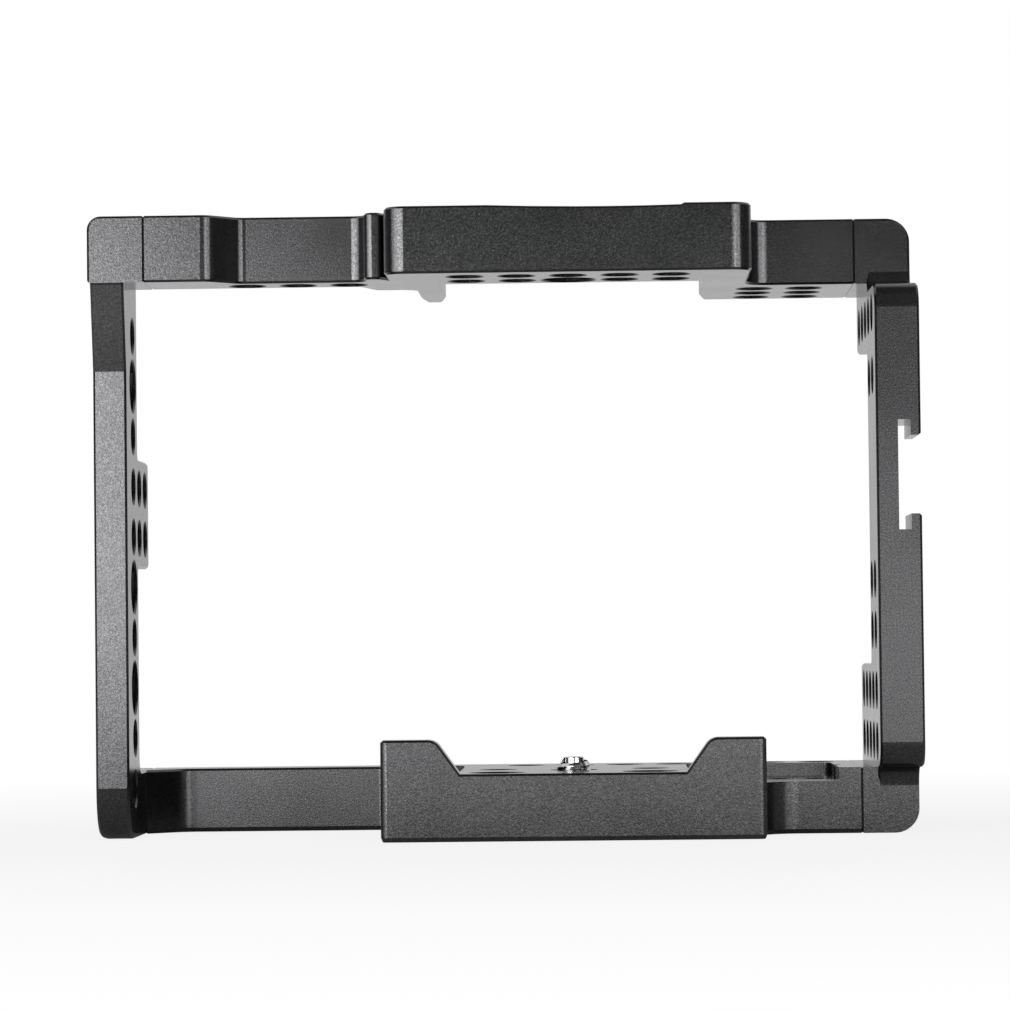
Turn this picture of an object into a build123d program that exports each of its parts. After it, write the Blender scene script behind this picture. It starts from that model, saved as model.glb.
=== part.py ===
from build123d import *
import os

# Camera cage: four machined plates bolted into a ring round a camera body, with a captive
# camera screw in the base plate. Millimetres. X runs from the grip side to the port side,
# Y from the lens side to the screen side, Z up. The origin is on the camera screw's axis,
# at the seat that the camera stands on.

# ---------------------------------------------------------------- driving dimensions
# Space for the camera
SEAT_Z = 0.0
GRIP_SIDE_CLEAR = 78.4        # screw axis to the grip-side plate's inner face
PORT_SIDE_CLEAR = 53.4        # screw axis to the port-side plate's inner face
INNER_HEIGHT = 86.3           # seat to the top plate's underside

# Plate thicknesses
BASE_THICKNESS = 11.6
TOP_THICKNESS = 11.7
GRIP_WALL = 5.9
PORT_WALL = 7.8

# Edges
EDGE_BREAK = 0.4              # chamfer round the plates' outlines
SEAM_BREAK = 0.2              # smaller chamfer where two plates meet

NEAR = 0.01                   # how close an edge lies to a place to be found there

# Threaded accessory holes
QUARTER_RADIUS = 6.35 / 2     # 1/4 in thread
THREE_EIGHTHS_RADIUS = 9.525 / 2
HOLE_PITCH = 9.0
HOLE_MOUTH = 0.3              # chamfer at a hole's mouth

# Top plate, plan view
CENTRE_HALF_WIDTH = 31.8
FRONT_Y = -20.0               # front of the centre block, and of the base plate's block
CENTRE_CORNER_RADIUS = 3.5
MID_BAR_DEPTH = 22.3
NOTCH_GRIP_X = -23.0          # viewfinder notch, grip side
NOTCH_PORT_X = 23.8           # viewfinder notch, port side
NOTCH_CORNER_RADIUS = 0.8
CLAW_WIDTH = 4.6
CLAW_BACK_Y = 40.5
CLAW_TAPER_LENGTH = 8.0
CLAW_TAPER = 0.8
CLAW_TIP_RADIUS = 0.5
CLAW_ROOT_Y = 13.0
CLAW_ROOT_STEP = 0.9          # claw's root starts inside the rib's outer side
CLAW_ROOT_SLANT = 1.7
CLAW_ROOT_RADIUS = 1.2
CLAW_FILLET = 3.0
RIB_OFFSET = 4.0              # small rounded rib beside the centre block
RIB_WIDTH = 2.8
RIB_RADIUS = 1.5
RIB_INNER_RADIUS = 1.2
RIB_BACK_Y = -7.8
RECESS_FRONT_Y = -4.5         # finger recess between the rib and the S-bend
RECESS_FILLET = 2.4
BEND_X = -63.0
BEND_RUN = 5.1                # the S-bend's slant, along X
BEND_RADIUS = 3.2
GRIP_END_FRONT_Y = -10.0
GRIP_END_BACK_Y = 5.2
GRIP_SEAM_X = -74.4
PORT_END_FRONT_Y = 12.0
PORT_END_FILLET = 3.8
PORT_BACK_Y = 42.0
PORT_TOP_SEAM_INSET = 2.2     # seams lie this far inside the port-side wall
DIP_START_X = -14.0           # shallow hollow in the centre block's top
DIP_END_X = 19.7
DIP_DEPTH = 0.42
DIP_STEP = 0.3                # the hollow ends in a low step
DIP_RAMP = 0.6

# Top plate's hole rows
FRONT_ROW_Y = -12.5
RECESS_ROW_Y = 1.0
RECESS_ROW_X = -48.0
PORT_GRID_X = 33.5
PORT_GRID_Y = 19.6

# Grip-side plate, side view
BEAM_FRONT_Y = -2.5
BEAM_BACK_Y = 14.0
SLANT_FRONT_Y = -6.0
SLANT_LOW_Z = 71.2
GRIP_TOP_EDGE_RADIUS = 2.4
GRIP_FOOT_EDGE_RADIUS = 1.6
FOOT_BREAK_Z = -2.4
FOOT_LEAN = 1.2
FOOT_NOSE_RADIUS = 8.0
FOOT_BACK_Y = 40.0
FOOT_FILLET = 3.0
GRIP_TAB_LOW_Z = 36.8
GRIP_TAB_HIGH_Z = 56.4
GRIP_TAB_BACK_Y = 31.0
TAB_CORNER_RADIUS = 1.5
GRIP_COLUMN_Y = 7.5
GRIP_LOWEST_HOLE_Z = -2.8

# Port-side plate, side view
PORT_BEAM_FRONT_Y = -9.0
PORT_BEAM_TOP_Z = 84.9
PORT_BEAM_BACK_Y = 13.0
PORT_BEAM_NOSE_RADIUS = 4.5
PORT_HIGH_TAB_Z = 75.5
PORT_LOW_TAB_Z = 18.0
PORT_SHELF_FILLET = 3.5
PORT_TOP_EDGE_RADIUS = 4.2
PORT_FOOT_EDGE_RADIUS = 4.3
PORT_FOOT_INSET = 0.6
PORT_FOOT_FILLET = 3.3
PORT_COLUMN_Y = -0.5
PORT_LOW_ROW_Z = 4.4
PORT_MID_ROW_Z = 24.1
PORT_HIGH_ROW_Z = 69.1
PORT_TAB_ROW_Z = 80.2

# Accessory shoe in the port-side plate
SHOE_CENTRE_Z = 51.1
SHOE_WIDTH = 19.2
SHOE_MOUTH = 13.7
SHOE_LIP = 1.8
SHOE_SLOT = 2.2
SHOE_LIP_LENGTH = 15.5

# Base plate, plan view
BASE_HALF_WIDTH = 33.2
BASE_CORNER_RADIUS = 1.2
BASE_BACK_Y = 40.0
BACK_STEP_RUN = 2.0
BACK_STEP_FILLET = 3.0
GRIP_BAR_FRONT_Y = 30.0
GRIP_BAR_TURN_X = -71.8
GRIP_BAR_END_Y = 23.4
GRIP_BAR_FILLET = 5.0
GRIP_BAR_ROOT_FILLET = 3.0
PORT_BAR_FRONT_Y = -1.0
PORT_BAR_FILLET = 6.5
PORT_BASE_SEAM_INSET = 2.8
EAR_RISE = 5.9
EAR_DEPTH = 6.0
LENS_NOTCH_FLOOR = 19.5
LENS_NOTCH_TOP = 23.7
EAR_RADIUS = 2.5
LEDGE_DEPTH = 2.4
LEDGE_END_X = 46.6
LEDGE_BACK_Y = 29.0
LEDGE_CORNER_RADIUS = 1.5

# Base plate's holes
STUD_HOLE_X = 13.3
STUD_HOLE_Y = -12.0
SIDE_HOLE_X = 13.5
SIDE_HOLE_Y = 5.0
BACK_ROW_Y = 30.0
LEDGE_GRID_X = 35.3
LEDGE_GRID_Y = 13.5
LEDGE_GRID_BACK_Y = 35.0

# Camera screw, its washer and its folding ring
THREAD_RADIUS = 3.1
THREAD_LENGTH = 4.5
THREAD_SHOWING = 2.3          # above the seat with the screw dropped
THREAD_TIP = 1.3
SHANK_RADIUS = 2.4
RUNNING_PLAY = 0.1
TOP_BORE_RADIUS = 4.2
WEB = 2.0                     # floor between the top bore and the recess underneath
SCREW_TRAVEL = 2.2
WASHER_RADIUS = 5.5
WASHER_THICKNESS = 0.5
HEAD_RADIUS = 5.6
HEAD_HEIGHT = 3.2
COIN_SLOT_WIDTH = 1.4
COIN_SLOT_DEPTH = 1.1
RING_WIRE = 0.7
RING_RADIUS = 6.9
RING_BEND = 1.0
RING_PIVOT_DEPTH = 1.5
RING_PLAY = 0.05
RECESS_CLEARANCE = 0.4

# Anti-slip pads on the seat
PAD_INNER_X = 20.2
PAD_OUTER_X = 31.2
PAD_FRONT_Y = -12.5
PAD_BACK_Y = 25.0
PAD_SINK = 0.8
PAD_PROUD = 0.2
PAD_CORNER = 1.5
PAD_PLAY = 0.1

# Corner joints: two M3 cap screws and one dowel pin each, along X
M3_RADIUS = 1.5
M3_HEAD_RADIUS = 2.75
M3_HEAD_HEIGHT = 3.0
M3_HEX = 2.5
M3_HEX_DEPTH = 1.5
M3_GRIP = 4.6                 # thread held in the top or base plate
HEAD_SUNK = 0.2
HEAD_PLAY = 0.15
SHANK_PLAY = 0.2
THREAD_PLAY = 0.05
DOWEL_RADIUS = 1.25
DOWEL_HALF_LENGTH = 4.5
DOWEL_FOOT_HALF = 2.5         # shorter in the thin grip-side foot
DOWEL_PLAY = 0.02
DOWEL_END_GAP = 0.1

GRIP_TOP_SPREAD = 4.2         # each screw's distance from the middle of the joint
PORT_TOP_INSET = 6.5          # each screw's distance from the joint's end
FOOT_FIRST_INSET = 0.1
FOOT_SECOND_INSET = 3.5
FOOT_DOWEL_DROP = 3.4         # the foot's dowel lies under its two screws
PORT_BASE_INSET = 4.6
PORT_BASE_SECOND_Y = 26.5
PORT_BASE_DOWEL_STEP = 6.0

# ---------------------------------------------------------------- derived places
BOTTOM_Z = SEAT_Z - BASE_THICKNESS
UNDERSIDE_Z = SEAT_Z + INNER_HEIGHT
TOP_Z = UNDERSIDE_Z + TOP_THICKNESS
GRIP_INNER_X = -GRIP_SIDE_CLEAR
GRIP_OUTER_X = GRIP_INNER_X - GRIP_WALL
PORT_INNER_X = PORT_SIDE_CLEAR
PORT_OUTER_X = PORT_INNER_X + PORT_WALL
MID_BAR_BACK_Y = FRONT_Y + MID_BAR_DEPTH
RIB_X = -(CENTRE_HALF_WIDTH + RIB_OFFSET)
CLAW_ROOT_X = RIB_X + CLAW_ROOT_STEP
RECESS_START_X = BEND_X + BEND_RUN
EAR_BACK_Y = FRONT_Y + EAR_DEPTH
PORT_SEAM_X = PORT_INNER_X - PORT_TOP_SEAM_INSET
BASE_SEAM_X = PORT_INNER_X - PORT_BASE_SEAM_INSET
EAR_TOP_Z = SEAT_Z + EAR_RISE
LEDGE_Z = SEAT_Z - LEDGE_DEPTH
FOOT_BOTTOM_Z = BOTTOM_Z

THREAD_TOP_Z = SEAT_Z + THREAD_SHOWING
TOP_BORE_FLOOR_Z = THREAD_TOP_Z - THREAD_LENGTH
RECESS_ROOF_Z = TOP_BORE_FLOOR_Z - WEB
WASHER_TOP_Z = RECESS_ROOF_Z - SCREW_TRAVEL
HEAD_TOP_Z = WASHER_TOP_Z - WASHER_THICKNESS
HEAD_BOTTOM_Z = HEAD_TOP_Z - HEAD_HEIGHT
RING_Z = (HEAD_TOP_Z + HEAD_BOTTOM_Z) / 2
UNDER_RECESS_RADIUS = RING_BEND + RING_RADIUS + RING_WIRE + RECESS_CLEARANCE
SHOE_FLOOR_X = PORT_OUTER_X - SHOE_LIP - SHOE_SLOT
PAD_WIDTH = PAD_OUTER_X - PAD_INNER_X
PAD_LENGTH = PAD_BACK_Y - PAD_FRONT_Y
PAD_CENTRE_X = (PAD_INNER_X + PAD_OUTER_X) / 2
PAD_CENTRE_Y = (PAD_FRONT_Y + PAD_BACK_Y) / 2
PAD_CENTRES = [(-PAD_CENTRE_X, PAD_CENTRE_Y), (PAD_CENTRE_X, PAD_CENTRE_Y)]

TOP_SEAMS = (GRIP_SEAM_X, PORT_SEAM_X)
BASE_SEAMS = (GRIP_INNER_X, BASE_SEAM_X)


def outline(corners):
    """Closed outline through corners given as (first, second, corner radius)."""
    points = [(first, second) for first, second, radius in corners]
    radii = [radius for first, second, radius in corners]
    FilletPolyline(*points, radius=radii, close=True)


def at_steps(start, steps):
    """Places some whole pitches away from a start."""
    return [start + HOLE_PITCH * step for step in steps]


def row(start, count):
    """Places of a row of holes at the common pitch."""
    return at_steps(start, range(count))


def grid(firsts, seconds):
    """Every pair of one value from each list."""
    return [(first, second) for first in firsts for second in seconds]


def on_a_seam(edge, seams):
    """True for an edge that lies in the plane of a seam across X."""
    box = edge.bounding_box()
    return any(abs(box.min.X - seam) < NEAR and abs(box.max.X - seam) < NEAR for seam in seams)


def level_edges(part, axis, place, seams):
    """Edges that lie in one plane across an axis, without those along a seam."""
    edges = part.edges().filter_by_position(axis, place - NEAR, place + NEAR)
    flat = edges.filter_by(lambda edge: edge.bounding_box().size.dot(axis.direction) < 2 * NEAR)
    return flat.filter_by(lambda edge: not on_a_seam(edge, seams))


def seam_rim(part, seam):
    """Edges round the flat end that meets the next plate in the plane of a seam."""
    ends = part.faces().filter_by(Axis.X).filter_by_position(Axis.X, seam - NEAR, seam + NEAR)
    return ends.sort_by(Axis.Z)[-1 if seam in TOP_SEAMS else 0].outer_wire().edges()


def outline_edges(part, seams):
    """Upper and lower edges of a plate's upright walls, without those along a seam."""
    chosen = ShapeList()
    for edge in part.edges():
        upright = abs(edge.tangent_at(0.5).Z) > 0.9
        beside_wall = any(abs(face.normal_at().Z) < NEAR for face in walls_of(part, edge))
        if beside_wall and not upright and not on_a_seam(edge, seams):
            chosen.append(edge)
    return chosen


def walls_of(part, edge):
    """Faces of a part that meet at an edge."""
    return [face for face in part.faces() if edge in face.edges()]


def drilled(plane, points, radius, through):
    """Straight threaded holes from a plane down to a depth, with both mouths chamfered."""
    mouth = radius + HOLE_MOUTH
    at_top = (Align.CENTER, Align.CENTER, Align.MAX)
    at_bottom = (Align.CENTER, Align.CENTER, Align.MIN)
    with Locations(*[plane.location * Location((u, v, 0)) for u, v in points]):
        Cylinder(radius, through, align=at_top, mode=Mode.SUBTRACT)
        Cone(radius, mouth, HOLE_MOUTH, align=at_top, mode=Mode.SUBTRACT)
    with Locations(*[plane.location * Location((u, v, -through)) for u, v in points]):
        Cone(mouth, radius, HOLE_MOUTH, align=at_bottom, mode=Mode.SUBTRACT)


# Threaded holes of each plate, as places on its own face
BACK_HALF = HOLE_PITCH * 2
TOP_STUD_HOLE = (0, FRONT_ROW_Y + HOLE_PITCH)
TOP_QUARTER_HOLES = (
    grid(row(-BACK_HALF, 5), [FRONT_ROW_Y])
    + grid([-BACK_HALF, -HOLE_PITCH, HOLE_PITCH, BACK_HALF], [FRONT_ROW_Y + HOLE_PITCH])
    + grid(row(RECESS_ROW_X - HOLE_PITCH, 3), [RECESS_ROW_Y])
    + grid(row(PORT_GRID_X, 2), row(PORT_GRID_Y, 3)))
BASE_STUD_HOLES = [(-STUD_HOLE_X, STUD_HOLE_Y), (STUD_HOLE_X, STUD_HOLE_Y)]
BASE_QUARTER_HOLES = (
    [(-SIDE_HOLE_X, SIDE_HOLE_Y), (SIDE_HOLE_X, SIDE_HOLE_Y)]
    + grid(row(-HOLE_PITCH, 4), [BACK_ROW_Y])
    + grid(row(LEDGE_GRID_X, 2), [LEDGE_GRID_Y, LEDGE_GRID_BACK_Y]))
GRIP_COLUMN_Z = row(GRIP_LOWEST_HOLE_Z, 10)
GRIP_STUD_Z = at_steps(GRIP_LOWEST_HOLE_Z, (2, 4, 8))
GRIP_TAB_Z = at_steps(GRIP_LOWEST_HOLE_Z, (5, 6))
GRIP_STUD_HOLES = grid([GRIP_COLUMN_Y], GRIP_STUD_Z)
GRIP_QUARTER_HOLES = (
    grid([GRIP_COLUMN_Y], [z for z in GRIP_COLUMN_Z if z not in GRIP_STUD_Z])
    + grid(row(GRIP_COLUMN_Y + HOLE_PITCH, 2), GRIP_TAB_Z))
PORT_QUARTER_HOLES = (
    grid(row(PORT_COLUMN_Y, 5), row(PORT_LOW_ROW_Z, 2) + [PORT_TAB_ROW_Z])
    + grid(row(PORT_COLUMN_Y, 2), row(PORT_MID_ROW_Z, 2) + [PORT_HIGH_ROW_Z]))

# Corner joints. Each has the outer face of the side plate, its seam with the top or base
# plate, the height of its screws, their two places along Y, the dowel's place as (Y, Z),
# and how far the dowel goes into the side plate.
TOP_JOINT_Z = (UNDERSIDE_Z + TOP_Z) / 2
BASE_JOINT_Z = (SEAT_Z + BOTTOM_Z) / 2
PORT_FOOT_OUTER_X = PORT_OUTER_X - PORT_FOOT_INSET
GRIP_TOP_MID_Y = (GRIP_END_FRONT_Y + GRIP_END_BACK_Y) / 2
PORT_TOP_MID_Y = (PORT_END_FRONT_Y + PORT_BACK_Y) / 2
FOOT_FIRST_Y = GRIP_BAR_FRONT_Y + FOOT_FIRST_INSET
FOOT_SECOND_Y = BASE_BACK_Y - FOOT_SECOND_INSET
PORT_BASE_FIRST_Y = PORT_BAR_FRONT_Y + PORT_BASE_INSET
PORT_BASE_DOWEL_Y = PORT_BASE_SECOND_Y - PORT_BASE_DOWEL_STEP

JOINTS = {
    "grip_top": (GRIP_OUTER_X, GRIP_SEAM_X, TOP_JOINT_Z,
                 (GRIP_TOP_MID_Y - GRIP_TOP_SPREAD, GRIP_TOP_MID_Y + GRIP_TOP_SPREAD),
                 (GRIP_TOP_MID_Y, TOP_JOINT_Z), DOWEL_HALF_LENGTH),
    "port_top": (PORT_OUTER_X, PORT_SEAM_X, TOP_JOINT_Z,
                 (PORT_END_FRONT_Y + PORT_TOP_INSET, PORT_BACK_Y - PORT_TOP_INSET),
                 (PORT_TOP_MID_Y, TOP_JOINT_Z), DOWEL_HALF_LENGTH),
    "grip_base": (GRIP_OUTER_X, GRIP_INNER_X, BASE_JOINT_Z, (FOOT_FIRST_Y, FOOT_SECOND_Y),
                  ((FOOT_FIRST_Y + FOOT_SECOND_Y) / 2, BASE_JOINT_Z - FOOT_DOWEL_DROP),
                  DOWEL_FOOT_HALF),
    "port_base": (PORT_FOOT_OUTER_X, BASE_SEAM_X, BASE_JOINT_Z,
                  (PORT_BASE_FIRST_Y, PORT_BASE_SECOND_Y),
                  (PORT_BASE_DOWEL_Y, BASE_JOINT_Z), DOWEL_HALF_LENGTH),
}


def between_corner_and_round(corner, radius, first_way, second_way):
    """Face between a square corner and the arc that rounds it, in the plane of the sketch."""
    first, second = corner
    along = (first + first_way * radius, second)
    up = (first, second + second_way * radius)
    with BuildLine() as boundary:
        Polyline(up, corner, along)
        TangentArc(along, up, tangent=(-first_way, 0))
    make_face(boundary.edges())


def side_sign(outer):
    """+1 for a joint whose outer face points along +X, -1 for the grip side."""
    return 1 if outer > 0 else -1


def outward_plane(x, y, z, sign):
    """Plane at a point whose normal points out of the cage along X."""
    return Plane(origin=(x, y, z), x_dir=(0, 1, 0), z_dir=(sign, 0, 0))


def cut_cylinder(plane, radius, depth):
    """Round pocket from a plane into the part."""
    with BuildSketch(plane) as mouth:
        Circle(radius)
    extrude(mouth.sketch, amount=-depth, mode=Mode.SUBTRACT)


def joint_holes_in_side_plate(name):
    """Counterbored screw holes and a blind dowel hole through a side plate's corner."""
    outer, seam, z, screw_places, (dowel_y, dowel_z), dowel_in_side = JOINTS[name]
    sign = side_sign(outer)
    for y in screw_places:
        head_depth = HEAD_SUNK + M3_HEAD_HEIGHT
        cut_cylinder(outward_plane(outer, y, z, sign), M3_HEAD_RADIUS + HEAD_PLAY, head_depth)
        cut_cylinder(outward_plane(outer, y, z, sign), M3_RADIUS + SHANK_PLAY,
                     abs(outer - seam))
    cut_cylinder(outward_plane(seam, dowel_y, dowel_z, -sign), DOWEL_RADIUS + DOWEL_PLAY,
                 dowel_in_side + DOWEL_END_GAP)


def joint_holes_in_end(name):
    """Blind threaded holes and a dowel hole in the end of the top or base plate."""
    outer, seam, z, screw_places, (dowel_y, dowel_z), dowel_in_side = JOINTS[name]
    sign = side_sign(outer)
    for y in screw_places:
        cut_cylinder(outward_plane(seam, y, z, sign), M3_RADIUS + THREAD_PLAY,
                     M3_GRIP + DOWEL_END_GAP)
    cut_cylinder(outward_plane(seam, dowel_y, dowel_z, sign), DOWEL_RADIUS + DOWEL_PLAY,
                 DOWEL_HALF_LENGTH + DOWEL_END_GAP)


# ---------------------------------------------------------------- top plate
with BuildPart() as top_plate:
    with BuildSketch(Plane.XY.offset(UNDERSIDE_Z)):
        with BuildLine():
            outline([
                (GRIP_SEAM_X, GRIP_END_FRONT_Y, 0),
                (BEND_X, GRIP_END_FRONT_Y, BEND_RADIUS),
                (RECESS_START_X, RECESS_FRONT_Y, RECESS_FILLET),
                (RIB_X, RECESS_FRONT_Y, RECESS_FILLET),
                (RIB_X, GRIP_END_FRONT_Y, RIB_RADIUS),
                (RIB_X + RIB_WIDTH, GRIP_END_FRONT_Y, RIB_INNER_RADIUS),
                (-CENTRE_HALF_WIDTH, RIB_BACK_Y, 0),
                (-CENTRE_HALF_WIDTH, FRONT_Y, CENTRE_CORNER_RADIUS),
                (CENTRE_HALF_WIDTH, FRONT_Y, CENTRE_CORNER_RADIUS),
                (CENTRE_HALF_WIDTH, PORT_END_FRONT_Y, PORT_END_FILLET),
                (PORT_SEAM_X, PORT_END_FRONT_Y, 0),
                (PORT_SEAM_X, PORT_BACK_Y, 0),
                (NOTCH_PORT_X + CLAW_TAPER, PORT_BACK_Y, CLAW_TIP_RADIUS),
                (NOTCH_PORT_X, PORT_BACK_Y - CLAW_TAPER_LENGTH, 0),
                (NOTCH_PORT_X, MID_BAR_BACK_Y, NOTCH_CORNER_RADIUS),
                (NOTCH_GRIP_X, MID_BAR_BACK_Y, NOTCH_CORNER_RADIUS),
                (NOTCH_GRIP_X, CLAW_BACK_Y - CLAW_TAPER_LENGTH, 0),
                (NOTCH_GRIP_X - CLAW_TAPER, CLAW_BACK_Y, CLAW_TIP_RADIUS),
                (NOTCH_GRIP_X - CLAW_WIDTH + CLAW_TAPER, CLAW_BACK_Y, CLAW_TIP_RADIUS),
                (NOTCH_GRIP_X - CLAW_WIDTH, CLAW_BACK_Y - CLAW_TAPER_LENGTH, 0),
                (NOTCH_GRIP_X - CLAW_WIDTH, CLAW_ROOT_Y, CLAW_FILLET),
                (CLAW_ROOT_X, CLAW_ROOT_Y, CLAW_ROOT_RADIUS),
                (RIB_X - CLAW_ROOT_SLANT, GRIP_END_BACK_Y, CLAW_ROOT_RADIUS),
                (GRIP_SEAM_X, GRIP_END_BACK_Y, 0),
            ])
        make_face()
    extrude(amount=TOP_THICKNESS)
    with BuildSketch(Plane.XZ.offset(-FRONT_Y)):
        with BuildLine():
            dip_low = (DIP_START_X + DIP_END_X) / 2
            ThreePointArc((DIP_START_X, TOP_Z), (dip_low, TOP_Z - DIP_DEPTH),
                          (DIP_END_X, TOP_Z - DIP_STEP))
            Polyline((DIP_END_X, TOP_Z - DIP_STEP), (DIP_END_X + DIP_RAMP, TOP_Z),
                     (DIP_START_X, TOP_Z))
        make_face()
    extrude(amount=-MID_BAR_DEPTH, mode=Mode.SUBTRACT)
    chamfer(outline_edges(top_plate, TOP_SEAMS), EDGE_BREAK)
    for seam in TOP_SEAMS:
        chamfer(seam_rim(top_plate, seam), SEAM_BREAK)
    drilled(Plane.XY.offset(TOP_Z), TOP_QUARTER_HOLES, QUARTER_RADIUS, TOP_THICKNESS)
    drilled(Plane.XY.offset(TOP_Z), [TOP_STUD_HOLE], THREE_EIGHTHS_RADIUS, TOP_THICKNESS)
    joint_holes_in_end("grip_top")
    joint_holes_in_end("port_top")
top_plate.part.label = "top_plate"

# ---------------------------------------------------------------- base plate
with BuildPart() as base_plate:
    with BuildSketch(Plane.XY.offset(BOTTOM_Z)):
        with BuildLine():
            outline([
                (-BASE_HALF_WIDTH, FRONT_Y, 0),
                (BASE_HALF_WIDTH, FRONT_Y, 0),
                (BASE_HALF_WIDTH, PORT_BAR_FRONT_Y, PORT_BAR_FILLET),
                (BASE_SEAM_X, PORT_BAR_FRONT_Y, 0),
                (BASE_SEAM_X, PORT_BACK_Y, 0),
                (BASE_HALF_WIDTH + BACK_STEP_RUN, PORT_BACK_Y, BACK_STEP_FILLET),
                (BASE_HALF_WIDTH, BASE_BACK_Y, BACK_STEP_FILLET),
                (GRIP_INNER_X, BASE_BACK_Y, 0),
                (GRIP_INNER_X, GRIP_BAR_END_Y, 0),
                (GRIP_BAR_TURN_X, GRIP_BAR_FRONT_Y, GRIP_BAR_FILLET),
                (-BASE_HALF_WIDTH, GRIP_BAR_FRONT_Y, GRIP_BAR_ROOT_FILLET),
            ])
        make_face()
    extrude(amount=BASE_THICKNESS)
    with BuildSketch(Plane.XZ.offset(-FRONT_Y)):
        with BuildLine():
            outline([
                (-BASE_HALF_WIDTH, SEAT_Z, 0),
                (-BASE_HALF_WIDTH, EAR_TOP_Z, 0),
                (-LENS_NOTCH_TOP, EAR_TOP_Z, EAR_RADIUS),
                (-LENS_NOTCH_FLOOR, SEAT_Z, 0),
            ])
        make_face()
        mirror(about=Plane.YZ)
    extrude(amount=-EAR_DEPTH)
    front_corners = base_plate.edges().filter_by(Axis.Z).filter_by_position(
        Axis.Y, FRONT_Y - NEAR, FRONT_Y + NEAR)
    fillet(front_corners, BASE_CORNER_RADIUS)
    chamfer(level_edges(base_plate, Axis.Z, BOTTOM_Z, BASE_SEAMS), EDGE_BREAK)
    chamfer(level_edges(base_plate, Axis.Y, FRONT_Y, ()), EDGE_BREAK)
    seat_rim = level_edges(base_plate, Axis.Z, SEAT_Z, BASE_SEAMS)
    grip_rim = seat_rim.filter_by(lambda edge: edge.center().X < 0
                                  and edge.center().Y > EAR_BACK_Y + NEAR)
    back_rim = seat_rim.filter_by(lambda edge: edge.center().X > 0
                                  and edge.center().Y > LEDGE_BACK_Y)
    chamfer(grip_rim + back_rim, EDGE_BREAK)
    chamfer(level_edges(base_plate, Axis.Y, EAR_BACK_Y, ()).filter_by_position(
        Axis.Z, EAR_TOP_Z - NEAR, EAR_TOP_Z + NEAR), EDGE_BREAK)
    for seam in BASE_SEAMS:
        chamfer(seam_rim(base_plate, seam), SEAM_BREAK)
    # Pocket for the camera's port-side foot, open to the front.
    with BuildSketch(Plane.XY.offset(SEAT_Z)):
        with BuildLine():
            outline([
                (BASE_HALF_WIDTH, PORT_BAR_FRONT_Y - PORT_BAR_FILLET, 0),
                (LEDGE_END_X, PORT_BAR_FRONT_Y - PORT_BAR_FILLET, 0),
                (LEDGE_END_X, LEDGE_BACK_Y, LEDGE_CORNER_RADIUS),
                (BASE_HALF_WIDTH, LEDGE_BACK_Y, LEDGE_CORNER_RADIUS),
            ])
        make_face()
    extrude(amount=-LEDGE_DEPTH, mode=Mode.SUBTRACT)
    drilled(Plane.XY.offset(SEAT_Z), BASE_QUARTER_HOLES, QUARTER_RADIUS, BASE_THICKNESS)
    drilled(Plane.XY.offset(SEAT_Z), BASE_STUD_HOLES, THREE_EIGHTHS_RADIUS, BASE_THICKNESS)
    # Camera screw: bore in the seat, bored web, recess underneath.
    cut_cylinder(Plane.XY.offset(SEAT_Z), TOP_BORE_RADIUS, SEAT_Z - TOP_BORE_FLOOR_Z)
    cut_cylinder(Plane.XY.offset(SEAT_Z), SHANK_RADIUS + RUNNING_PLAY, BASE_THICKNESS)
    cut_cylinder(-Plane.XY.offset(BOTTOM_Z), UNDER_RECESS_RADIUS, RECESS_ROOF_Z - BOTTOM_Z)
    # Shallow beds for the two anti-slip pads.
    with BuildSketch(Plane.XY.offset(SEAT_Z)):
        with Locations(*PAD_CENTRES):
            RectangleRounded(PAD_WIDTH + 2 * PAD_PLAY, PAD_LENGTH + 2 * PAD_PLAY,
                             PAD_CORNER + PAD_PLAY)
    extrude(amount=-PAD_SINK, mode=Mode.SUBTRACT)
    joint_holes_in_end("grip_base")
    joint_holes_in_end("port_base")
base_plate.part.label = "base_plate"

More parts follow.
